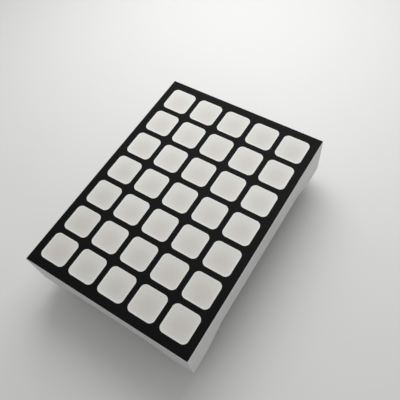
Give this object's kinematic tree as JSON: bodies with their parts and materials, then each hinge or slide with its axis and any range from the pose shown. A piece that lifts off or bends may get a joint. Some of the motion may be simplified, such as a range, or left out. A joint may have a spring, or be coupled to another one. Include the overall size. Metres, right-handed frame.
{
  "type": "led dot matrix module",
  "caption": "Rectangular display module with a grid of square milky windows in a black face, a white footed housing and two rows of round pins beneath.",
  "frame": {"origin": "centre of the pin pattern on the seating plane, which is the plane of the four feet", "axes": "+Z out of the lit face, +Y along the module's length towards row 1, +X from column 1 to column 5"},
  "size_m": [0.0384, 0.0532, 0.0145],
  "materials": {
    "housing_white": "fine satin moulded plastic",
    "mask_black": "semi-matte black layer",
    "window_epoxy": "milky satin epoxy",
    "board_green": "solder mask over glass laminate",
    "seal_epoxy": "milky cured epoxy",
    "gilt_copper": "gilt copper",
    "chip_crystal": "sawn crystal",
    "gold_wire": "drawn gold wire",
    "solder": "bright solder",
    "pin_tin": "tinned wire"
  },
  "bodies": {
    "root": {"housing": "housing_white", "face_mask": "mask_black", "circuit_board": "board_green", "board_seal": "seal_epoxy", "chip_lands": "gilt_copper", "led_chips": "chip_crystal", "bond_wires": "gold_wire", "solder_joints": "solder", "window_r1_c1": "window_epoxy", "window_r1_c2": "window_epoxy", "window_r1_c3": "window_epoxy", "window_r1_c4": "window_epoxy", "window_r1_c5": "window_epoxy", "window_r2_c1": "window_epoxy", "window_r2_c2": "window_epoxy", "window_r2_c3": "window_epoxy", "window_r2_c4": "window_epoxy", "window_r2_c5": "window_epoxy", "window_r3_c1": "window_epoxy", "window_r3_c2": "window_epoxy", "window_r3_c3": "window_epoxy", "window_r3_c4": "window_epoxy", "window_r3_c5": "window_epoxy", "window_r4_c1": "window_epoxy", "window_r4_c2": "window_epoxy", "window_r4_c3": "window_epoxy", "window_r4_c4": "window_epoxy", "window_r4_c5": "window_epoxy", "window_r5_c1": "window_epoxy", "window_r5_c2": "window_epoxy", "window_r5_c3": "window_epoxy", "window_r5_c4": "window_epoxy", "window_r5_c5": "window_epoxy", "window_r6_c1": "window_epoxy", "window_r6_c2": "window_epoxy", "window_r6_c3": "window_epoxy", "window_r6_c4": "window_epoxy", "window_r6_c5": "window_epoxy", "window_r7_c1": "window_epoxy", "window_r7_c2": "window_epoxy", "window_r7_c3": "window_epoxy", "window_r7_c4": "window_epoxy", "window_r7_c5": "window_epoxy", "pin_01": "pin_tin", "pin_02": "pin_tin", "pin_03": "pin_tin", "pin_04": "pin_tin", "pin_05": "pin_tin", "pin_06": "pin_tin", "pin_07": "pin_tin", "pin_08": "pin_tin", "pin_09": "pin_tin", "pin_10": "pin_tin", "pin_11": "pin_tin", "pin_12": "pin_tin", "pin_13": "pin_tin", "pin_14": "pin_tin"}
  },
  "joints": []
}
